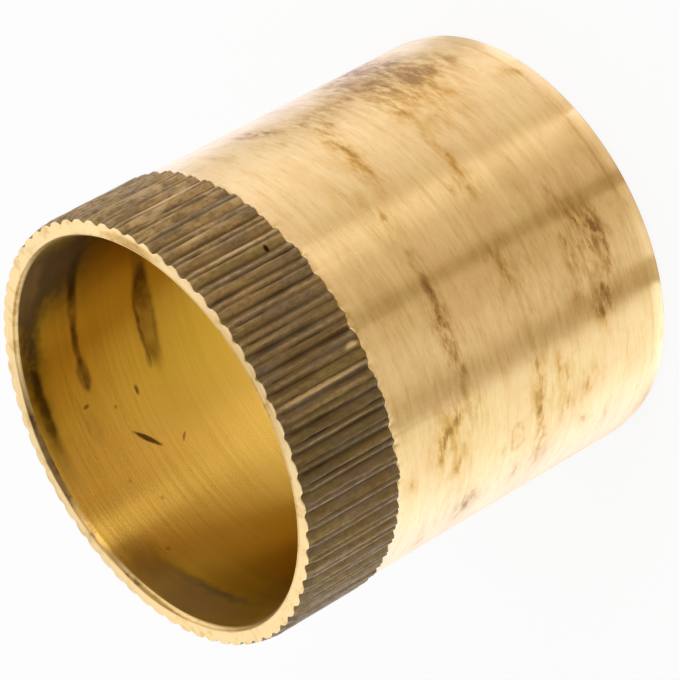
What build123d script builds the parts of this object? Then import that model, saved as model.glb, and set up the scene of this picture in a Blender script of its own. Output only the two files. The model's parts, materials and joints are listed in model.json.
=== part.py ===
"""Pipe support insert: a turned brass sleeve that stiffens the end of a thin-walled tube.

The plain end slides into the tube and the straight-knurled end is driven in flush, where its teeth grip.
Millimetres, +Z up. The sleeve stands on its plain end, with the origin at the centre of that end.
"""
from build123d import *

import math
import os

# The tube that the insert goes into
tube_bore_diameter = 20.0
slip_clearance = 0.1
knurl_bite = 0.06

# The sleeve
length = 21.2
wall_thickness = 0.75
mouth_chamfer_depth = 0.2
mouth_chamfer_width = 0.14

# The plain end, which enters the tube first
lead_in_length = 0.8
lead_in_drop = 0.14
end_edge_radius = 0.22
end_bore_chamfer = 0.1

# The knurled end
knurl_width = 5.2
tooth_count = 68
tooth_depth = 0.27
notch_share = 0.86
crease_depth = 0.06
crease_share = 0.12

body_radius = tube_bore_diameter / 2 - slip_clearance
crest_radius = tube_bore_diameter / 2 + knurl_bite
bore_radius = body_radius - wall_thickness
knurl_start = length - knurl_width
crest_rise = crest_radius - body_radius

# Each groove is cut from just outside the crests, and takes a share of the pitch there
cutter_overrun = 0.05
pitch = 2 * math.pi * crest_radius / tooth_count
half_pitch_angle = 180 / tooth_count
grooves = [
    # place in the pitch, depth, width at the crests
    (half_pitch_angle, tooth_depth, notch_share * pitch),
    (0, crease_depth, crease_share * pitch),
]

with BuildPart() as support_insert:
    # The sleeve's wall, turned in one piece: bore, plain body and the raised band for the teeth
    with BuildSketch(Plane.XZ):
        with BuildLine():
            Polyline(
                (bore_radius + end_bore_chamfer, 0),
                (body_radius - lead_in_drop, 0),
                (body_radius, lead_in_length),
                (body_radius, knurl_start),
                (crest_radius, knurl_start + crest_rise),
                (crest_radius, length),
                (bore_radius + mouth_chamfer_width, length),
                (bore_radius, length - mouth_chamfer_depth),
                (bore_radius, end_bore_chamfer),
                close=True,
            )
        make_face()
    revolve(axis=Axis.Z)

    # The outer corner of the plain end is rounded so that it enters the tube without catching
    end_corner = support_insert.edges().group_by(Axis.Z)[0].sort_by(SortBy.LENGTH)[-1]
    fillet(end_corner, end_edge_radius)

    # Straight knurling: a ring of V notches along the axis leaves one tooth between each two. The metal that
    # the knurling wheel moved stands up in two lips, with a shallow crease between them along each crest.
    with BuildSketch(Plane.XY.offset(length)):
        for first_angle, groove_depth, groove_width in grooves:
            cutter_half_width = groove_width / 2 * (groove_depth + cutter_overrun) / groove_depth
            with PolarLocations(0, tooth_count, start_angle=first_angle):
                Polygon(
                    (crest_radius - groove_depth, 0),
                    (crest_radius + cutter_overrun, cutter_half_width),
                    (crest_radius + cutter_overrun, -cutter_half_width),
                    align=None,
                )
    extrude(amount=-knurl_width, mode=Mode.SUBTRACT)

support_insert.part.label = "support_insert"
os.makedirs("parts", exist_ok=True)
export_step(support_insert.part, "parts/support_insert.step")
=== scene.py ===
import json
import math

import bpy
import numpy as np
from mathutils import Matrix, Vector


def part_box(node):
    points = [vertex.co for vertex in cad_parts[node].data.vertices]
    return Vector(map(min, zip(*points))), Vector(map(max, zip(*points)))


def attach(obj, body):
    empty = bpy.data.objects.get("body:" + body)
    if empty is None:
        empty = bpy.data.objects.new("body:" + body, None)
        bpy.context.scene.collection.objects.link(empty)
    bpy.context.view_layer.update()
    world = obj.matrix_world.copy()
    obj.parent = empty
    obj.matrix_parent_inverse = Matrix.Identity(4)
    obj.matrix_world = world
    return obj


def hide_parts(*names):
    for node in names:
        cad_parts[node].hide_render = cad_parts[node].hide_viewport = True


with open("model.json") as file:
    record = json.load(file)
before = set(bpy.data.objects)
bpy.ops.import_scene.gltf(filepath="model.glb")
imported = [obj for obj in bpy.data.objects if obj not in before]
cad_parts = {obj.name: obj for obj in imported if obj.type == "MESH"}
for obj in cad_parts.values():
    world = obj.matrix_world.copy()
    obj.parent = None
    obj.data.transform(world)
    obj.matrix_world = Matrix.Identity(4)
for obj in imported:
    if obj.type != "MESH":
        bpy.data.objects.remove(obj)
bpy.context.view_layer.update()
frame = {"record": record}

# The sleeve's form.
# One piece of brass bar, turned and bored on a lathe: a plain body, a lead-in and rounded corner at the end
# that enters the tube, and a bore with a small chamfer at its mouth. Sizes are in millimetres.
MM = 0.001
mounts = {mount["name"]: mount for mount in frame["record"]["mounts"]}
sleeve_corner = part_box("support_insert")[1]
sleeve_length = sleeve_corner.z / MM
crest_radius = sleeve_corner.x / MM
body_radius = mounts["body"]["dims"]["r_mm"]
bore_radius = mounts["bore"]["dims"]["r_mm"]
lead_in_length = 0.8
lead_in_drop = 0.14
end_corner_radius = 0.22
end_bore_chamfer = 0.1
mouth_chamfer_depth = 0.2
mouth_chamfer_width = 0.14
edge_break = 0.025
mouth_radius = bore_radius + mouth_chamfer_width
knurl_start = lead_in_length + mounts["body"]["dims"]["length_mm"]
front_azimuth = -92.0

# The knurl's teeth.
# A straight knurl, rolled into the upper end: the roll presses V notches into the blank, and the metal that
# it moves rises into two lips with a shallow crease between them. The teeth differ a little from each other.
tooth_count = 68
tooth_depth = 0.27
notch_half_width = 0.35
crease_half_width = 0.14
end_crease = 0.045
worn_share = 0.09
corner_wear = np.array([
    # angle from the camera's side, loss at the crests, depth of the notches
    (-160, 0.02, 0.14), (-120, 0.06, 0.11), (-45, 0.06, 0.17), (0, 0.09, 0.19), (50, 0.03, 0.18),
    (100, 0.06, 0.12), (135, 0.1, 0.09), (165, 0.02, 0.15),
])
run_out = crest_radius - body_radius
pitch_angle = 2 * math.pi / tooth_count
half_notch_columns = np.array([0.06, 0.15, 0.24, 0.32, 0.38, 0.44])
notch_columns = np.concatenate([-half_notch_columns[::-1], [0], half_notch_columns, [0.5]])
column_offset = np.tile(notch_columns, tooth_count)
column_tooth = np.repeat(np.arange(tooth_count), len(notch_columns))
column_angle = (column_tooth + 0.5 + column_offset) * pitch_angle
column_count = len(column_angle)
knurl_rows = 56
knurl_top = sleeve_length - edge_break
knurl_foot = knurl_start + run_out
knurl_heights = np.linspace(knurl_top, knurl_foot, knurl_rows)
along_tooth = np.linspace(1, 0, knurl_rows)
wear = np.random.default_rng(68)


def uneven(knots, low, high):
    """A smooth random value for each tooth, which changes along its length."""
    values = wear.uniform(low, high, (tooth_count, knots))
    place = along_tooth * (knots - 1)
    left = np.minimum(place.astype(int), knots - 2)
    share = place - left
    share = share * share * (3 - 2 * share)
    return values[:, left] * (1 - share) + values[:, left + 1] * share


notch_depth = tooth_depth + uneven(2, -0.07, 0) + uneven(6, -0.03, 0.02)
notch_width = notch_half_width + uneven(2, -0.04, 0.02) + uneven(9, -0.012, 0.012)
notch_shift = uneven(2, -0.02, 0.02) + uneven(5, -0.01, 0.01)
crease_depth = np.maximum(uneven(2, 0.05, 0.11) + uneven(10, -0.03, 0.03), 0)
crest_loss = uneven(2, 0, 0.02) + uneven(14, 0, 0.015)
at_face = np.clip(1 - (1 - along_tooth) / worn_share, 0, 1)
tooth_turn = np.degrees((np.arange(tooth_count) + 0.5) * pitch_angle) - front_azimuth
end_loss = np.interp(tooth_turn, corner_wear[:, 0], corner_wear[:, 1], period=360)
end_depth = np.interp(tooth_turn, corner_wear[:, 0], corner_wear[:, 2], period=360)
end_depth = end_depth + wear.uniform(-0.03, 0.03, tooth_count)
lip_end = wear.uniform(-0.09, 0.07, 2 * tooth_count)
lip_middle = (np.arange(2 * tooth_count) + 0.5) / 2
foot_shift = np.interp(column_tooth + 0.5 + column_offset, lip_middle, lip_end, period=tooth_count)


def tooth_ring(row):
    """The knurl's radius at every column of one row. Next to the face, the teeth are worn round."""
    toward_notch = 1 - 2 * np.abs(column_offset)
    offset = np.abs(column_offset - notch_shift[column_tooth, row] * toward_notch)
    notch = notch_depth[column_tooth, row] * (1 - offset / notch_width[column_tooth, row])
    crest_tooth = np.where(column_offset > 0, column_tooth, column_tooth - 1)
    crease = crease_depth[crest_tooth, row] * (1 - (0.5 - offset) / crease_half_width)
    rolled = np.maximum(np.maximum(notch, crease), crest_loss[crest_tooth, row])
    wave = 0.5 + 0.5 * np.cos(2 * math.pi * offset)
    crease_wave = 0.5 + 0.5 * np.cos(4 * math.pi * offset)
    worn = end_loss[column_tooth] + end_depth[column_tooth] * wave + end_crease * crease_wave
    return crest_radius - rolled - (worn - rolled) * at_face[row]


# The sleeve's mesh.
# Rings of points follow the turned section all the way round: over the face, down the knurl and the body,
# round the plain end, and back up the bore to its chamfer.
BODY, KNURL, FACED, BORED = range(4)
ring_radii = []
ring_heights = []
ring_finish = []


def add_ring(radius, height, finish):
    """Adds a ring of points, and names the finish of the faces between it and the next ring."""
    ring_radii.append(np.broadcast_to(np.asarray(radius, float), column_count))
    ring_heights.append(np.broadcast_to(np.asarray(height, float), column_count))
    ring_finish.append(finish)


first_knurl_ring = tooth_ring(0)
inside_teeth = crest_radius - tooth_depth - 0.08
add_ring(mouth_radius, sleeve_length - 0.5 * edge_break, FACED)
add_ring(mouth_radius + 0.5 * edge_break, sleeve_length, FACED)
add_ring(mouth_radius + edge_break, sleeve_length, FACED)
add_ring(inside_teeth, sleeve_length, FACED)
add_ring(first_knurl_ring - 2 * edge_break, sleeve_length, FACED)
add_ring(first_knurl_ring - edge_break, sleeve_length, FACED)
add_ring(first_knurl_ring - 0.3 * edge_break, sleeve_length - 0.3 * edge_break, FACED)
for row, height in enumerate(knurl_heights):
    add_ring(tooth_ring(row), height + foot_shift * (1 - along_tooth[row]) ** 4, KNURL)
last_knurl_ring = tooth_ring(knurl_rows - 1)
for share in (0.75, 0.5, 0.25, 0.06):
    run_out_ring = body_radius + share * (last_knurl_ring - body_radius)
    add_ring(run_out_ring, knurl_start + share * run_out + foot_shift, BODY)
for height in np.linspace(knurl_start - 0.25, lead_in_length + 0.04, 4):
    add_ring(body_radius, height, BODY)
lead_in_angle = math.atan2(lead_in_drop, lead_in_length)
corner_turn = math.pi / 2 - lead_in_angle
corner_reach = end_corner_radius * math.tan(corner_turn / 2)
end_radius = body_radius - lead_in_drop
for height in (lead_in_length - 0.02, 0.6 * lead_in_length, corner_reach * math.cos(lead_in_angle) + 0.03):
    add_ring(end_radius + lead_in_drop * height / lead_in_length, height, BODY)
for share in np.linspace(0, 1, 7):
    turned = lead_in_angle + share * corner_turn
    corner_radius = end_radius - corner_reach + end_corner_radius * math.cos(turned)
    add_ring(corner_radius, end_corner_radius * (1 - math.sin(turned)), BODY)
add_ring(end_radius - corner_reach - 0.03, 0, BODY)
add_ring(bore_radius + end_bore_chamfer + 0.02, 0, BODY)
add_ring(bore_radius + end_bore_chamfer, 0.006, BORED)
add_ring(bore_radius + 0.006, end_bore_chamfer, BORED)
for height in np.linspace(end_bore_chamfer + 0.03, sleeve_length - mouth_chamfer_depth - 0.03, 5):
    add_ring(bore_radius, height, BORED)
for share in (0.05, 0.5, 0.94):
    chamfer_height = sleeve_length - mouth_chamfer_depth * (1 - share)
    add_ring(bore_radius + share * mouth_chamfer_width, chamfer_height, FACED)

ring_count = len(ring_radii)
radii = np.array(ring_radii) * MM
heights = np.array(ring_heights) * MM
points = np.stack([radii * np.cos(column_angle), radii * np.sin(column_angle), heights], axis=-1)
ring_index, column_index = np.meshgrid(np.arange(ring_count), np.arange(column_count), indexing="ij")
next_ring = (ring_index + 1) % ring_count
next_column = (column_index + 1) % column_count
corners = np.stack([
    ring_index * column_count + column_index,
    next_ring * column_count + column_index,
    next_ring * column_count + next_column,
    ring_index * column_count + next_column,
], axis=-1).reshape(-1, 4)
sleeve_mesh = bpy.data.meshes.new("brass_sleeve")
sleeve_mesh.from_pydata(points.reshape(-1, 3).tolist(), [], corners.tolist())
sleeve_mesh.polygons.foreach_set("material_index", np.repeat(ring_finish, column_count).astype(np.int32))
sleeve_mesh.polygons.foreach_set("use_smooth", np.ones(len(corners), bool))
sleeve_mesh.set_sharp_from_angle(angle=math.radians(38))
sleeve = bpy.data.objects.new("brass_sleeve", sleeve_mesh)
bpy.context.scene.collection.objects.link(sleeve)


# The plain body's finish.
# Bright brass straight off the lathe. The tool left fine rings around it, so it mirrors sharply around the
# sleeve and only softly along it.
def node(tree, kind, inputs=None, **settings):
    """Adds a node with its settings, and sets or links its inputs."""
    made = tree.nodes.new(kind)
    for name, value in settings.items():
        setattr(made, name, value)
    for key, value in (inputs or {}).items():
        if isinstance(value, bpy.types.NodeSocket):
            tree.links.new(value, made.inputs[key])
        else:
            made.inputs[key].default_value = value
    return made


def calc(tree, operation, *values):
    """The result of a math node."""
    return node(tree, "ShaderNodeMath", dict(enumerate(values)), operation=operation).outputs[0]


def blend(tree, share, first, second):
    """A mix of two colours."""
    inputs = {"Factor": share, 6: first, 7: second}
    return node(tree, "ShaderNodeMix", inputs, data_type="RGBA").outputs[2]


def ease(tree, value, low, high, to_low=0.0, to_high=1.0):
    """A smooth step from one range of values to another."""
    inputs = {"Value": value, "From Min": low, "From Max": high, "To Min": to_low, "To Max": to_high}
    return node(tree, "ShaderNodeMapRange", inputs, interpolation_type="SMOOTHSTEP").outputs[0]


def noise(tree, place, stretch, detail=2.0, rough=0.5):
    """Noise whose grain has the given number of spots to a millimetre along x, y and z."""
    scaled = node(tree, "ShaderNodeVectorMath", {0: place, 1: stretch}, operation="MULTIPLY")
    inputs = {"Vector": scaled.outputs[0], "Scale": 1.0, "Detail": detail, "Roughness": rough}
    return node(tree, "ShaderNodeTexNoise", inputs).outputs["Fac"]


def measured(tree, facing):
    """The place on the sleeve in millimetres, the angle around it from the facing side, and the height."""
    metres = node(tree, "ShaderNodeTexCoord").outputs["Object"]
    place = node(tree, "ShaderNodeVectorMath", {0: metres, "Scale": 1 / MM}, operation="SCALE").outputs[0]
    turned = node(tree, "ShaderNodeVectorRotate", {"Vector": place, "Angle": -math.radians(facing)},
                  rotation_type="Z_AXIS")
    split = node(tree, "ShaderNodeSeparateXYZ", {0: turned.outputs[0]})
    turn = calc(tree, "ARCTAN2", split.outputs["Y"], split.outputs["X"])
    return place, turn, split.outputs["Z"]


def new_finish(name, anisotropic):
    """Adds a brass finish to the sleeve. An anisotropic one mirrors along the lathe's rings."""
    finish = bpy.data.materials.new(name)
    finish.use_nodes = True
    tree = finish.node_tree
    tree.nodes.clear()
    surface = node(tree, "ShaderNodeBsdfPrincipled", {"Metallic": 1.0})
    node(tree, "ShaderNodeOutputMaterial", {"Surface": surface.outputs[0]})
    if anisotropic:
        surface.inputs["Anisotropic"].default_value = anisotropic
        surface.inputs["Anisotropic Rotation"].default_value = 0.25
        rings = node(tree, "ShaderNodeTangent", direction_type="RADIAL", axis="Z")
        tree.links.new(rings.outputs[0], surface.inputs["Tangent"])
    sleeve_mesh.materials.append(finish)
    return tree, surface


def ellipse_cover(tree, around, up, warp, soft, ellipses):
    """How heavily each spot is covered: every mark, a stain, a worn spot or a patch of painted shade, is an
    uneven ellipse with its own place, size and tilt.

    With no width given for its soft edge, a mark fades away from its middle. The marks are worked out in
    batches, each a little wider where the one before lies, because Cycles can't hold many of them at once.
    """
    batch = 18
    flat = node(tree, "ShaderNodeCombineXYZ", {"X": around, "Y": up}).outputs[0]
    amount = 0.0
    for first in range(0, len(ellipses), batch):
        spread = calc(tree, "MULTIPLY_ADD", amount, 0.1, 1.0)
        shift = node(tree, "ShaderNodeVectorMath", {0: warp, "Scale": spread}, operation="SCALE").outputs[0]
        edge = node(tree, "ShaderNodeVectorMath", {0: flat, 1: shift}, operation="ADD").outputs[0]
        for middle, height, half_width, half_height, tilt, fill, rim in ellipses[first:first + batch]:
            inputs = {"Vector": edge, "Location": (middle, height, 0), "Rotation": (0, 0, math.radians(tilt)),
                      "Scale": (half_width, half_height, 1)}
            inside = node(tree, "ShaderNodeMapping", inputs, vector_type="TEXTURE").outputs[0]
            distance = node(tree, "ShaderNodeVectorMath", {0: inside}, operation="LENGTH").outputs["Value"]
            if soft:
                cover = ease(tree, distance, 1 + soft, 1 - soft, 0.0, fill)
            else:
                cover = calc(tree, "MULTIPLY", calc(tree, "POWER", 0.32, distance), fill)
            amount = calc(tree, "ADD", amount, cover)
            if rim:
                off_rim = calc(tree, "ABSOLUTE", calc(tree, "SUBTRACT", distance, 0.9))
                amount = calc(tree, "ADD", amount, ease(tree, off_rim, 0.35, 0.0, 0.0, rim))
    return amount


def ragged(tree, place, spots, reach):
    """A small random shift that makes a mark's outline ragged."""
    scaled = node(tree, "ShaderNodeVectorMath", {0: place, "Scale": spots}, operation="SCALE").outputs[0]
    inputs = {"Vector": scaled, "Scale": 1.0, "Detail": 2.0, "Roughness": 0.55}
    shift = node(tree, "ShaderNodeTexNoise", inputs).outputs["Color"]
    centred = node(tree, "ShaderNodeVectorMath", {0: shift, 1: (0.5, 0.5, 0.5)}, operation="SUBTRACT")
    inputs = {0: centred.outputs[0], "Scale": reach}
    return node(tree, "ShaderNodeVectorMath", inputs, operation="SCALE").outputs[0]


def soiled_or_shaded(tree, clean, amount, thin, thick):
    """Thin soil or light painted shade only tints the brass, and thick soil or deep painted shade hides it.
    """
    tinted = blend(tree, calc(tree, "MULTIPLY", amount, 1.8), clean, thin)
    return blend(tree, ease(tree, amount, 0.4, 1.1), tinted, thick)


body_stains = [
    # middle, height, half width, half height, tilt, fill, darker rim
    (7.2, 10.45, 1.9, 0.28, -10, 0.6, 0), (9.2, 9.65, 0.9, 0.32, -38, 0.35, 0),
    (5.4, 10.45, 1.0, 0.4, 0, 0.3, 0), (4.6, 12.2, 1.2, 0.5, 0, 0.2, 0),
    (7.95, 6.7, 1.0, 0.32, 0, 0.55, 0), (4.6, 7.0, 1.3, 0.18, 0, 0.6, 0),
    (6.5, 5.4, 0.65, 0.35, 0, 0.35, 0), (11.55, 11.8, 1.1, 0.32, 15, 0.5, 0),
    (11.0, 11.55, 0.4, 0.3, 0, 0.3, 0), (11.3, 14.4, 0.8, 0.22, 0, 0.3, 0),
    (10.2, 10.2, 0.35, 0.16, -30, 0.35, 0), (6.6, 0.95, 0.45, 0.22, 20, 0.5, 0),
    (3.1, 11.7, 0.5, 0.26, 0, 0.4, 0), (1.5, 11.8, 1.3, 0.22, 0, 0.22, 0),
    (-0.3, 11.8, 0.8, 0.22, 0, 0.35, 0), (-1.8, 12.05, 1.0, 0.24, 0, 0.55, 0),
    (-2.9, 12.1, 0.8, 0.22, 0, 0.5, 0), (-4.1, 11.5, 0.9, 0.2, 0, 0.28, 0),
    (3.0, 8.0, 0.4, 0.25, 0, 0.4, 0), (2.9, 7.3, 0.45, 0.22, 0, 0.5, 0),
    (-1.0, 8.0, 0.95, 0.55, 0, 0.3, 0), (0.9, 3.95, 0.45, 0.25, 0, 0.3, 0),
    (-1.4, 4.5, 0.5, 0.12, 0, 0.45, 0), (-0.1, 3.8, 0.4, 0.16, 0, 0.4, 0),
    (-0.75, 3.45, 0.35, 0.18, 0, 0.5, 0), (-1.35, 2.85, 0.75, 0.48, 0, 0.85, 0),
    (-2.5, 2.55, 1.1, 0.22, 0, 0.5, 0), (-1.7, 3.3, 1.2, 0.5, 0, 0.25, 0),
    (-3.85, 3.4, 0.42, 0.34, 0, 0.75, 0), (-4.6, 3.6, 0.5, 0.22, 0, 0.45, 0),
    (-5.05, 3.6, 0.5, 0.3, 0, 0.65, 0), (-3.7, 4.75, 0.45, 0.3, 0, 0.3, 0),
    (-5.9, 12.45, 0.5, 0.3, 0, 0.5, 0), (-6.5, 13.15, 0.45, 0.2, -20, 0.45, 0),
    (-7.2, 13.6, 0.7, 0.4, 0, 0.4, 0), (-6.5, 12.9, 1.1, 0.9, 0, 0.34, 0),
    (-5.8, 11.4, 0.85, 0.2, 14, 0.3, 0), (-8.6, 12.5, 0.6, 0.22, 0, 0.45, 0),
    (-11.5, 11.5, 0.65, 0.42, 0, 0.9, 0), (-8.75, 9.05, 0.75, 0.42, 0, 0.15, 0.2),
    (-9.2, 9.85, 0.9, 0.12, 0, 0.25, 0), (-11.1, 8.85, 0.7, 0.22, 0, 0.35, 0),
    (-6.0, 7.75, 1.3, 0.2, 0, 0.42, 0), (-7.85, 7.7, 0.6, 0.24, 0, 0.5, 0),
    (-9.8, 7.55, 1.7, 0.25, 0, 0.38, 0), (-6.4, 6.4, 0.6, 0.22, 0, 0.5, 0),
    (-7.2, 6.15, 0.45, 0.2, 0, 0.38, 0), (-8.5, 6.1, 0.8, 0.3, 0, 0.28, 0),
    (-8.0, 4.75, 0.6, 0.24, -15, 0.62, 0), (-7.8, 4.2, 0.35, 0.25, 0, 0.35, 0),
    (-10.1, 4.95, 0.55, 0.16, 20, 0.45, 0), (-10.6, 3.4, 0.5, 0.2, 0, 0.25, 0),
    (-12.8, 13.8, 0.5, 0.3, 0, 0.35, 0), (-8.0, 15.25, 0.28, 0.22, 0, 0.3, 0),
]
body_clouds = [
    (9.9, 5.0, 2.6, 2.6, 0, 0.3, 0), (10.4, 7.8, 0.7, 2.2, 0, 0.28, 0), (12.3, 4.3, 2.2, 1.0, 8, 0.65, 0),
    (12.0, 6.8, 1.4, 1.8, 0, 0.25, 0), (10.0, 6.1, 1.4, 0.6, 0, 0.3, 0), (9.5, 4.7, 1.2, 0.5, 0, 0.3, 0),
    (9.6, 3.6, 0.8, 0.5, 0, 0.35, 0), (8.2, 4.3, 0.9, 0.5, 0, 0.3, 0), (7.4, 3.9, 0.4, 0.27, 0, 0.35, 0),
    (8.2, 5.5, 1.0, 0.38, 0, 0.3, 0), (9.7, 2.4, 0.8, 0.3, 0, 0.4, 0), (2.1, 1.1, 1.7, 0.28, 0, 0.18, 0),
    (-2.0, 6.6, 2.0, 2.4, 0, 0.16, 0), (-2.3, 4.4, 1.9, 0.9, 0, 0.2, 0),
    (-3.2, 13.8, 1.6, 1.8, 0, 0.12, 0), (11.7, 11.9, 1.3, 0.6, 15, 0.25, 0),
    (10.6, 9.8, 0.6, 1.2, 0, 0.12, 0), (-0.6, 7.9, 0.9, 0.6, 0, 0.15, 0),
    (-6.8, 13.2, 1.2, 1.0, 0, 0.1, 0), (-7.6, 7.7, 3.4, 0.32, 0, 0.32, 0),
    (-8.2, 6.4, 2.0, 0.3, 0, 0.24, 0), (-1.0, 11.85, 4.2, 0.16, 0, 0.3, 0),
    (13.4, 4.6, 1.0, 1.0, 0, 0.5, 0),
]
tree, surface = new_finish("turned_body", 1.0)
place, turn, up = measured(tree, front_azimuth)
around = calc(tree, "MULTIPLY", turn, body_radius)
rings = noise(tree, place, (0.18, 0.18, 3.2), 4.0, 0.75)
mottle = noise(tree, place, (0.9, 0.9, 2.6), 5.0, 0.68)
tarnish = noise(tree, place, (0.35, 0.35, 0.6), 4.0, 0.6)
spots = ellipse_cover(tree, around, up, ragged(tree, place, 1.3, 0.8), 0, body_stains)
spots = calc(tree, "MULTIPLY", spots, ease(tree, mottle, 0.37, 0.63, 0.25, 1.65))
clouds = ellipse_cover(tree, around, up, ragged(tree, place, 0.7, 1.5), 0, body_clouds)
clouds = calc(tree, "MULTIPLY", clouds, ease(tree, mottle, 0.35, 0.65, 0.4, 1.5))
stain_and_shade = calc(tree, "ADD", calc(tree, "ADD", spots, clouds), ease(tree, tarnish, 0.48, 0.75, 0.0, 0.18))
stain_and_shade = calc(tree, "ADD", stain_and_shade, ease(tree, rings, 0.5, 0.3, 0.0, 0.09))
ripple = noise(tree, place, (1.1, 1.1, 5.5), 3.0, 0.65)
stain_and_shade = calc(tree, "ADD", stain_and_shade, ease(tree, ripple, 0.5, 0.7, 0.0, 0.15))
# Painted shade: a dark line along the top of the lead-in stands in for the dark reflection at that edge,
# broken up by the tarnish noise.
off_lead_in = calc(tree, "ABSOLUTE", calc(tree, "SUBTRACT", up, lead_in_length + 0.1))
lead_in_shade_line = ease(tree, off_lead_in, 0.14, 0.0, 0.0, 0.18)
stain_and_shade = calc(tree, "ADD", stain_and_shade, calc(tree, "MULTIPLY", lead_in_shade_line, ease(tree, tarnish, 0.3, 0.6)))
# Painted shade: the rounded corner at the plain end is darkened, standing in for the dark reflection along
# its edge.
stain_and_shade = calc(tree, "ADD", stain_and_shade, ease(tree, up, 0.16, 0.05, 0.0, 0.7))
colour = blend(tree, ease(tree, rings, 0.3, 0.7), (0.805, 0.562, 0.238, 1), (0.905, 0.66, 0.304, 1))
blush = noise(tree, place, (0.25, 0.25, 0.4), 3.0, 0.6)
colour = blend(tree, ease(tree, blush, 0.45, 0.7, 0.0, 0.6), colour, (0.865, 0.57, 0.272, 1))
left_gold = calc(tree, "MULTIPLY", ease(tree, around, 2.6, 4.4), ease(tree, around, 11.5, 7.0))
right_gold = calc(tree, "MULTIPLY", ease(tree, around, -4.4, -5.8), ease(tree, around, -11.6, -9.4))
golden = calc(tree, "ADD", left_gold, right_gold)
thin = blend(tree, golden, (0.6, 0.352, 0.11, 1), (0.68, 0.39, 0.1, 1))
thick = blend(tree, golden, (0.34, 0.178, 0.055, 1), (0.42, 0.22, 0.055, 1))
colour = soiled_or_shaded(tree, colour, stain_and_shade, thin, thick)
tree.links.new(colour, surface.inputs["Base Color"])
roughness = calc(tree, "ADD", ease(tree, rings, 0.2, 0.8, 0.25, 0.3), calc(tree, "MULTIPLY", stain_and_shade, 0.08))
tree.links.new(roughness, surface.inputs["Roughness"])
bump = node(tree, "ShaderNodeBump", {"Height": rings, "Strength": 0.12, "Distance": 0.00002})
tree.links.new(bump.outputs[0], surface.inputs["Normal"])

# The knurl's finish.
# The rolled band has darkened: brown oxide fills the notches, and only some crests are rubbed back to brass.
# Painted shade deepens the dark lines along the notches and creases, and painted light makes the band paler
# on the key lamp's side.
knurl_nicks = [
    # middle, height, half width, half height, tilt, fill, darker rim
    (4.65, 17.2, 0.16, 0.1, 20, 1.0, 0), (9.1, 18.7, 0.2, 0.6, 0, 0.6, 0),
]
knurl_chips = [
    (-0.8, 16.55, 0.16, 0.3, 0, 1.0, 0), (2.6, 17.45, 0.1, 0.3, 0, 0.8, 0),
    (-1.65, 18.7, 0.09, 2.6, 0, 0.65, 0), (6.65, 19.6, 0.12, 0.8, 0, 0.7, 0),
    (5.15, 18.6, 0.08, 2.0, 0, 0.6, 0), (9.8, 18.4, 0.16, 1.6, 0, 0.6, 0),
]
tree, surface = new_finish("tarnished_knurl", 0)
place, turn, up = measured(tree, front_azimuth)
around = calc(tree, "MULTIPLY", turn, crest_radius)
flat = node(tree, "ShaderNodeVectorMath", {0: place, 1: (1, 1, 0)}, operation="MULTIPLY").outputs[0]
radius = node(tree, "ShaderNodeVectorMath", {0: flat}, operation="LENGTH").outputs["Value"]
azimuth = measured(tree, 0)[1]
off_crest = calc(tree, "PINGPONG", calc(tree, "DIVIDE", azimuth, pitch_angle), 0.5)
off_line = calc(tree, "MINIMUM", off_crest, calc(tree, "SUBTRACT", 0.5, off_crest))
streaks = noise(tree, place, (4.0, 4.0, 0.12), 3.0, 0.6)
greyed = noise(tree, place, (1.7, 1.7, 0.35), 3.0, 0.6)
greened = noise(tree, place, (2.3, 2.3, 0.2), 3.0, 0.6)
grain = noise(tree, place, (5, 5, 3), 4.0, 0.65)
# Painted light: the knurl's colour grows lighter towards the key lamp's side.
painted_key_side_light = ease(tree, around, -0.5, 5.5)
colour = blend(tree, painted_key_side_light, (0.205, 0.127, 0.046, 1), (0.4, 0.253, 0.095, 1))
colour = blend(tree, ease(tree, greyed, 0.45, 0.6, 0.0, 0.7), colour, (0.21, 0.15, 0.09, 1))
colour = blend(tree, ease(tree, greened, 0.5, 0.65, 0.0, 0.6), colour, (0.26, 0.18, 0.055, 1))
lip = ease(tree, calc(tree, "ABSOLUTE", calc(tree, "SUBTRACT", off_crest, 0.22)), 0.16, 0.02)
plain_side = ease(tree, around, -8.0, -4.0, 0.4, 1.0)
rubbed = calc(tree, "MULTIPLY", lip, plain_side)
rubbed = calc(tree, "MULTIPLY", rubbed, ease(tree, streaks, 0.42, 0.68, 0.0, 0.75))
colour = blend(tree, rubbed, colour, (0.46, 0.31, 0.13, 1))
# Dark oxide along the creases and notches, deepened there into painted shade.
groove_oxide_and_shade = calc(tree, "MULTIPLY", ease(tree, off_line, 0.13, 0.02), ease(tree, streaks, 0.7, 0.35, 0.15, 0.6))
groove_oxide_and_shade = calc(tree, "MULTIPLY", groove_oxide_and_shade, plain_side)
colour = blend(tree, groove_oxide_and_shade, colour, (0.085, 0.052, 0.018, 1))
colour = blend(tree, ease(tree, grain, 0.4, 0.7, 0.0, 0.5), colour, (0.15, 0.1, 0.042, 1))
patches = noise(tree, place, (1.4, 1.4, 0.55), 4.0, 0.65)
far_side = ease(tree, around, 5.0, 8.0)
dulled = calc(tree, "MULTIPLY", far_side, ease(tree, patches, 0.52, 0.62, 0.0, 0.65))
colour = blend(tree, dulled, colour, (0.17, 0.105, 0.04, 1))
bared = calc(tree, "MULTIPLY", far_side, ease(tree, patches, 0.46, 0.36, 0.0, 0.6))
colour = blend(tree, bared, colour, (0.56, 0.38, 0.17, 1))
darkest = ease(tree, calc(tree, "ABSOLUTE", calc(tree, "ADD", around, 4.0)), 2.4, 0.6, 0.0, 0.35)
colour = blend(tree, darkest, colour, (0.1, 0.068, 0.026, 1))
on_crest = ease(tree, radius, crest_radius - 0.12, crest_radius - 0.04)
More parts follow.
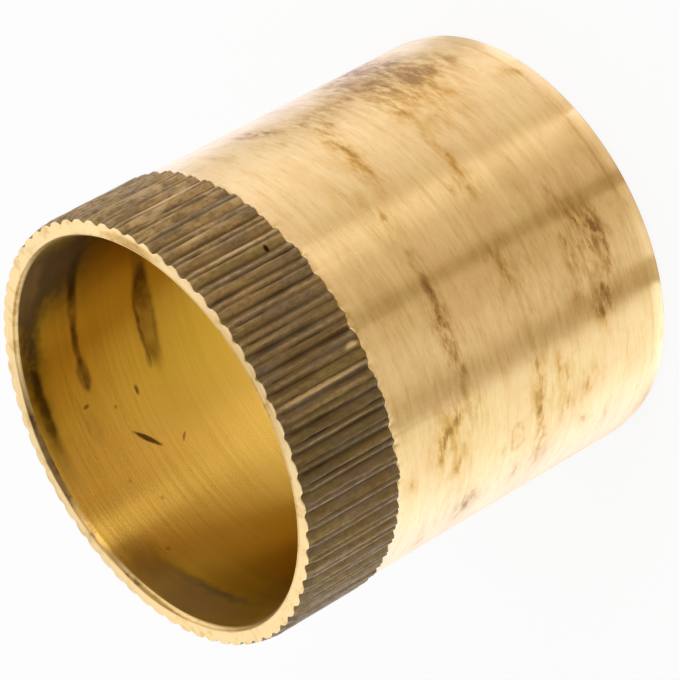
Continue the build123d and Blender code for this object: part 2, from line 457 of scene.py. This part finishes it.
chips = ellipse_cover(tree, around, up, ragged(tree, place, 3.0, 0.1), 0.5, knurl_chips)
chipped = node(tree, "ShaderNodeClamp", {0: calc(tree, "MULTIPLY", on_crest, chips)}).outputs[0]
colour = blend(tree, chipped, colour, (0.66, 0.45, 0.2, 1))
nicks = ellipse_cover(tree, around, up, ragged(tree, place, 3.0, 0.1), 0.4, knurl_nicks)
colour = blend(tree, node(tree, "ShaderNodeClamp", {0: nicks}).outputs[0], colour, (0.03, 0.015, 0.006, 1))
tree.links.new(colour, surface.inputs["Base Color"])
tree.links.new(ease(tree, grain, 0.3, 0.7, 0.42, 0.58), surface.inputs["Roughness"])
bump = node(tree, "ShaderNodeBump", {"Height": grain, "Strength": 0.4, "Distance": 0.00003})
tree.links.new(bump.outputs[0], surface.inputs["Normal"])

# The faced end's finish.
# The ring face was faced off last, so it is the brightest part of the brass. A painted dark line, standing in
# for shade, runs along the edge of the bore's chamfer, and a painted patch of shade dulls the chamfer's
# highlight on the far side.
face_marks_and_shade = [
    # middle, distance from the axis, half width, half height, tilt, fill, darker rim
    # The entries near 9.3 mm from the axis paint shade along the chamfer's edge; the one at 9.2 mm paints
    # shade over its highlight.
    (-1.2, 9.27, 2.7, 0.14, 0, 0.95, 0), (6.6, 9.29, 2.2, 0.09, 0, 0.75, 0),
    (-8.5, 9.28, 4.0, 0.05, 0, 0.35, 0), (2.7, 9.34, 1.6, 0.08, 0, 0.4, 0),
    (11.6, 9.29, 3.2, 0.05, 0, 0.4, 0), (-21.1, 9.55, 1.5, 0.22, 0, 0.5, 0),
    (28.6, 9.55, 2.6, 0.25, 0, 0.25, 0), (-28.6, 9.55, 2.6, 0.25, 0, 0.25, 0),
    (26.6, 9.33, 7.5, 0.1, 0, 0.3, 0), (-26.6, 9.33, 7.5, 0.1, 0, 0.3, 0),
    (3.0, 9.2, 1.4, 0.1, 0, 0.55, 0),
]
tree, surface = new_finish("faced_end", 0.8)
place, turn, up = measured(tree, front_azimuth + 180)
around = calc(tree, "MULTIPLY", turn, mouth_radius)
flat = node(tree, "ShaderNodeVectorMath", {0: place, 1: (1, 1, 0)}, operation="MULTIPLY").outputs[0]
radius = node(tree, "ShaderNodeVectorMath", {0: flat}, operation="LENGTH").outputs["Value"]
mottle = noise(tree, place, (1.2, 1.2, 1.2), 4.0, 0.6)
polar = node(tree, "ShaderNodeCombineXYZ", {"X": radius, "Y": turn}).outputs[0]
rings = noise(tree, polar, (30, 0.8, 0), 2.0, 0.6)
stain_and_shade = ellipse_cover(tree, around, radius, ragged(tree, place, 1.5, 0.08), 0.5, face_marks_and_shade)
stain_and_shade = calc(tree, "ADD", stain_and_shade, ease(tree, mottle, 0.48, 0.75, 0.0, 0.4))
colour = blend(tree, ease(tree, rings, 0.3, 0.7), (0.83, 0.6, 0.29, 1), (0.92, 0.69, 0.355, 1))
colour = soiled_or_shaded(tree, colour, stain_and_shade, (0.56, 0.34, 0.1, 1), (0.15, 0.085, 0.03, 1))
tree.links.new(colour, surface.inputs["Base Color"])
surface.inputs["Roughness"].default_value = 0.3

# The bore's finish.
# Bored smooth, with finer tool rings than the body. Coolant dried in it and left runs and specks. Painted
# shade darkens both sides of the bore, deeper down on one side and near the mouth.
bore_stains = [
    # middle, height, half width, half height, tilt, fill, darker rim
    (0.03, 16.22, 0.68, 0.11, -42, 1.2, 0), (0.72, 14.5, 0.22, 0.06, 42, 0.6, 0),
    (-2.15, 15.63, 0.22, 0.09, 0, 0.7, 0), (-2.55, 18.38, 0.09, 0.15, 0, 0.7, 0),
    (2.7, 17.25, 0.1, 0.09, 0, 0.4, 0), (4.95, 18.8, 0.11, 0.13, 0, 0.4, 0),
    (1.3, 18.1, 0.11, 0.09, 0, 0.35, 0), (-1.9, 17.0, 0.1, 0.08, 0, 0.4, 0),
    (-1.6, 18.4, 0.85, 0.32, 0, 0.15, 0), (-2.1, 18.7, 1.1, 0.08, 0, 0.22, 0),
    (-3.95, 17.98, 0.75, 0.32, 0, 0.5, 0.1), (-3.55, 17.92, 0.4, 0.16, 0, 0.3, 0),
    (-5.4, 18.0, 1.2, 0.19, 0, 0.5, 0), (-7.4, 18.0, 1.9, 0.24, 0, 0.5, 0),
    (-9.2, 18.05, 1.5, 0.32, 0, 0.45, 0), (-5.3, 14.07, 2.4, 0.52, 0, 0.42, 0.2),
    (-3.1, 14.5, 0.4, 0.14, 0, 0.35, 0), (-7.8, 14.2, 2.0, 0.4, -4, 0.35, 0),
    (-4.9, 14.5, 1.7, 0.1, -3, 0.25, 0), (-4.4, 20.55, 4.3, 0.42, 0, 0.4, 0),
    (-3.4, 20.45, 1.9, 0.26, 0, 0.4, 0),
]
bore_clouds = [
    (-11.2, 19.2, 2.0, 2.0, 0, 0.48, 0), (-9.6, 19.8, 1.4, 1.2, 0, 0.4, 0),
    (7.8, 19.9, 2.6, 0.9, 0, 0.16, 0), (7.7, 19.25, 2.6, 0.26, -6, 0.5, 0),
    (4.8, 20.3, 0.4, 0.26, 0, 0.2, 0), (-7.2, 20.5, 4.4, 0.6, 0, 0.75, 0),
    (-10.6, 18.6, 1.8, 0.7, 0, 0.3, 0),
]
bore_shade_patches = [
    (7.6, 20.2, 3.4, 1.0, 0, 0.75, 0), (-9.8, 20.6, 2.2, 0.5, 0, 0.5, 0),
]
tree, surface = new_finish("bored_inside", 1.0)
place, turn, up = measured(tree, front_azimuth + 180)
around = calc(tree, "MULTIPLY", turn, bore_radius)
rings = noise(tree, place, (0.1, 0.1, 4.5), 5.0, 0.7)
mottle = noise(tree, place, (1.4, 1.4, 2.0), 4.0, 0.6)
marks = ellipse_cover(tree, around, up, ragged(tree, place, 1.3, 0.22), 0.45, bore_stains)
clouds = ellipse_cover(tree, around, up, ragged(tree, place, 0.8, 1.2), 1.0, bore_clouds)
marks = calc(tree, "MULTIPLY", marks, ease(tree, mottle, 0.3, 0.65, 0.8, 1.1))
# Painted shade: the bore's colour darkens towards both sides, and deeper down on one side.
painted_side_shade = calc(tree, "ADD", ease(tree, around, 3.0, 9.5, 0.0, 0.55), ease(tree, around, -3.5, -10.0, 0.0, 0.4))
painted_side_shade = calc(tree, "ADD", painted_side_shade, ease(tree, around, 2.0, -1.5, 0.0, 0.09))
painted_depth_shade = calc(tree, "MULTIPLY", ease(tree, up, 17.0, 13.0, 0.0, 0.14), ease(tree, around, 1.8, -0.6))
painted_side_shade = calc(tree, "ADD", painted_side_shade, painted_depth_shade)
stain_and_shade = calc(tree, "ADD", calc(tree, "MULTIPLY", clouds, ease(tree, mottle, 0.3, 0.65, 0.7, 1.15)), painted_side_shade)
upper_side = ease(tree, around, 0.5, -3.5)
darker = blend(tree, upper_side, (0.82, 0.52, 0.095, 1), (0.82, 0.52, 0.06, 1))
paler = blend(tree, upper_side, (0.94, 0.6, 0.125, 1), (0.94, 0.6, 0.08, 1))
colour = blend(tree, ease(tree, rings, 0.3, 0.7), darker, paler)
thin = blend(tree, upper_side, (0.5, 0.288, 0.015, 1), (0.52, 0.322, 0.022, 1))
colour = soiled_or_shaded(tree, colour, stain_and_shade, thin, (0.18, 0.112, 0.034, 1))
# Painted shade: patches near the mouth darken both sides.
mouth_side_shade = ellipse_cover(tree, around, up, ragged(tree, place, 0.8, 0.6), 0.5, bore_shade_patches)
colour = blend(tree, mouth_side_shade, colour, (0.36, 0.215, 0.07, 1))
tint = soiled_or_shaded(tree, (1, 1, 1, 1), marks, (0.52, 0.46, 0.4, 1), (0.16, 0.12, 0.15, 1))
tinted = node(tree, "ShaderNodeVectorMath", {0: colour, 1: tint}, operation="MULTIPLY")
tree.links.new(tinted.outputs[0], surface.inputs["Base Color"])
soil_and_shade = calc(tree, "ADD", stain_and_shade, marks)
roughness = calc(tree, "ADD", ease(tree, rings, 0.2, 0.8, 0.25, 0.3), calc(tree, "MULTIPLY", soil_and_shade, 0.1))
tree.links.new(roughness, surface.inputs["Roughness"])
bump = node(tree, "ShaderNodeBump", {"Height": rings, "Strength": 0.12, "Distance": 0.00002})
tree.links.new(bump.outputs[0], surface.inputs["Normal"])

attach(sleeve, "root")
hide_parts("support_insert")

# The floor.
# White paper, lit from above; the camera and the metal both see it as white.
floor_half = 1.5
floor_corners = [(-floor_half, -floor_half, 0), (floor_half, -floor_half, 0), (floor_half, floor_half, 0),
                 (-floor_half, floor_half, 0)]
floor_mesh = bpy.data.meshes.new("floor")
floor_mesh.from_pydata(floor_corners, [], [(0, 1, 2, 3)])
floor = bpy.data.objects.new("floor", floor_mesh)
bpy.context.scene.collection.objects.link(floor)
paper = bpy.data.materials.new("white_paper")
paper.use_nodes = True
tree = paper.node_tree
tree.nodes.clear()
path = node(tree, "ShaderNodeLightPath")
mirrored = calc(tree, "MAXIMUM", path.outputs["Is Glossy Ray"], path.outputs["Is Transmission Ray"])
seen = calc(tree, "MAXIMUM", path.outputs["Is Camera Ray"], mirrored)
share = calc(tree, "MULTIPLY", seen, 0.88)
matt = node(tree, "ShaderNodeBsdfDiffuse", {"Color": (0.85, 0.85, 0.85, 1)})
glow = node(tree, "ShaderNodeEmission", {"Color": (1, 1, 1, 1), "Strength": 1.0})
mixed = node(tree, "ShaderNodeMixShader", {0: share, 1: matt.outputs[0], 2: glow.outputs[0]})
node(tree, "ShaderNodeOutputMaterial", {"Surface": mixed.outputs[0]})
floor_mesh.materials.append(paper)

# The glowing card.
# A graded card glows on the floor around the sleeve, where only the metal mirrors it: it paints the dark and
# bright reflected bands along the body, and a brighter disc inside the bore is mirrored by the bore's walls.
# Each level belongs to an angle on the body, counted from the camera's side, and runs out along the line that
# is mirrored there.
card_levels = [
    # angle, brightness
    (-80, 1.35), (-70, 1.45), (-60, 1.55), (-52, 1.42), (-48, 1.31), (-36, 1.29), (-31.3, 1.18),
    (-29.8, 0.62), (-24, 0.7), (-22, 1.0), (-16, 1.0), (-12, 0.91), (-8, 0.8), (-3, 0.78), (-1.4, 0.53),
    (0.8, 0.53), (2.5, 0.71), (4, 0.78), (8, 0.84), (12, 0.83), (16, 0.9), (21.2, 1.17), (21.6, 0.84),
    (24, 0.88), (28, 1.04), (36, 1.15), (40, 1.17), (46, 1.32), (52, 1.26), (60, 1.07), (68, 1.09),
    (72, 1.3), (80, 1.6),
]
card_height = 0.01
card_inner = end_radius - 0.1
card_edge = body_radius + 0.35
card_lip = 0.3
card_reach = 120.0
card_steps = 320
bore_level = 1.46
card_points = []
card_shades = []
for angle in np.linspace(-80, 80, card_steps + 1):
    level = np.interp(angle, [entry[0] for entry in card_levels], [entry[1] for entry in card_levels])
    normal_azimuth = math.radians(front_azimuth + angle)
    mirror_azimuth = math.radians(front_azimuth + 2 * angle)
    outward = Vector((math.cos(normal_azimuth), math.sin(normal_azimuth), 0))
    onward = Vector((math.cos(mirror_azimuth), math.sin(mirror_azimuth), 0))
    start = outward * card_edge
    line = [outward * card_inner, start, start + onward * card_lip, start + onward * card_reach]
    green = 0.95 * np.interp(angle, (-36, -28, 45, 60, 76), (1.06, 1.0, 1.0, 1.05, 1.1))
    blue = 0.92 * np.interp(angle, (-75, -60, -50, 45, 60, 76), (1.15, 1.1, 1.04, 1.04, 1.15, 1.3))
    edge_level = level * np.interp(abs(angle), (50, 70), (1.25, 0.7))
    for point, brightness in zip(line, (edge_level, edge_level, level, level)):
        card_points.append((point.x * MM, point.y * MM, card_height * MM))
        card_shades.extend((brightness, green * brightness ** 1.25, blue * brightness ** 1.9, 1.0))
card_faces = []
for step in range(card_steps):
    for strip in range(3):
        near = 4 * step + strip
        card_faces.append((near, near + 1, near + 5, near + 4))
for angle in np.linspace(0, 2 * math.pi, 64, endpoint=False):
    point = Vector((math.cos(angle), math.sin(angle), 0)) * (bore_radius - 0.1)
    card_points.append((point.x * MM, point.y * MM, card_height * MM))
    card_shades.extend((bore_level, bore_level, bore_level, 1.0))
card_faces.append(tuple(range(len(card_points) - 64, len(card_points))))
card_mesh = bpy.data.meshes.new("grey_card")
card_mesh.from_pydata(card_points, [], card_faces)
shades = card_mesh.color_attributes.new("shade", "FLOAT_COLOR", "POINT")
shades.data.foreach_set("color", card_shades)
card = bpy.data.objects.new("grey_card", card_mesh)
bpy.context.scene.collection.objects.link(card)
card.visible_camera = False
card.visible_diffuse = False
card.visible_shadow = False
grey_card = bpy.data.materials.new("grey_card")
grey_card.use_nodes = True
tree = grey_card.node_tree
tree.nodes.clear()
shade = node(tree, "ShaderNodeVertexColor", layer_name="shade")
glow = node(tree, "ShaderNodeEmission", {"Color": shade.outputs[0], "Strength": 1.0})
node(tree, "ShaderNodeOutputMaterial", {"Surface": glow.outputs[0]})
card_mesh.materials.append(grey_card)


# The lamps and the studio around them.
# Softboxes stand around the sleeve, each at an angle from the camera and a height above the floor.
def softbox(name, turn, elevation, distance, width, height, watts):
    """Adds an area lamp that faces the sleeve's middle."""
    azimuth = math.radians(front_azimuth + turn)
    climb = math.radians(elevation)
    aim = Vector((0, 0, 0.5 * sleeve_length))
    level = math.cos(climb)
    outward = Vector((math.cos(azimuth) * level, math.sin(azimuth) * level, math.sin(climb)))
    lamp_data = bpy.data.lights.new(name, "AREA")
    lamp_data.shape = "RECTANGLE"
    lamp_data.size = width * MM
    lamp_data.size_y = height * MM
    lamp_data.energy = watts
    lamp = bpy.data.objects.new(name, lamp_data)
    lamp.location = (aim + distance * outward) * MM
    lamp.rotation_euler = outward.to_track_quat("Z", "Y").to_euler()
    lamp.visible_camera = False
    bpy.context.scene.collection.objects.link(lamp)


softbox("key_softbox", 105, 35, 300, 400, 300, 0.38)
softbox("fill_softbox", -110, 35, 300, 400, 300, 0.28)
softbox("strip_softbox", 34, 38, 250, 70, 280, 0.16)
softbox("front_softbox", -10, 50, 300, 200, 200, 0.12)
softbox("back_softbox", 180, 33, 300, 380, 260, 0.26)
world = bpy.data.worlds.new("studio")
bpy.context.scene.world = world
world.use_nodes = True
tree = world.node_tree
tree.nodes.clear()
path = node(tree, "ShaderNodeLightPath")
inputs = {"Value": path.outputs["Is Camera Ray"], "To Min": 0.35, "To Max": 1.0}
strength = node(tree, "ShaderNodeMapRange", inputs)
sky = node(tree, "ShaderNodeBackground", {"Color": (1, 1, 1, 1), "Strength": strength.outputs[0]})
node(tree, "ShaderNodeOutputWorld", {"Surface": sky.outputs[0]})

# The camera.
# It looks down on the standing sleeve and is rolled, so that the sleeve lies in the picture as it does in the
# photograph.
view_elevation = 32.40
view_roll = 119.06
focal_pixels = 4523.0
frame_pixels = 680
sensor_width = 36.0
mouth_pixel = (151.4, 435.1)
camera_depth = 192.15
heading = math.radians(front_azimuth + 90)
drop = math.radians(view_elevation)
forward = Vector((-math.sin(heading) * math.cos(drop), math.cos(heading) * math.cos(drop), -math.sin(drop)))
level_right = Vector((math.cos(heading), math.sin(heading), 0))
level_up = level_right.cross(forward)
roll = math.radians(view_roll)
upward = math.cos(roll) * level_up + math.sin(roll) * level_right
right = forward.cross(upward)
across = (mouth_pixel[0] - frame_pixels / 2) / focal_pixels * camera_depth
downward = (mouth_pixel[1] - frame_pixels / 2) / focal_pixels * camera_depth
mouth_centre = Vector((0, 0, sleeve_length))
camera_place = (mouth_centre - forward * camera_depth - right * across + upward * downward) * MM
camera_data = bpy.data.cameras.new("camera")
camera_data.sensor_width = sensor_width
camera_data.lens = sensor_width * focal_pixels / frame_pixels
camera_data.clip_start = 0.01
camera = bpy.data.objects.new("camera", camera_data)
camera_turn = Matrix((right, upward, -forward)).transposed().to_4x4()
camera.matrix_world = Matrix.Translation(camera_place) @ camera_turn
bpy.context.scene.collection.objects.link(camera)
bpy.context.scene.camera = camera

bpy.context.scene.view_settings.view_transform = "Standard"
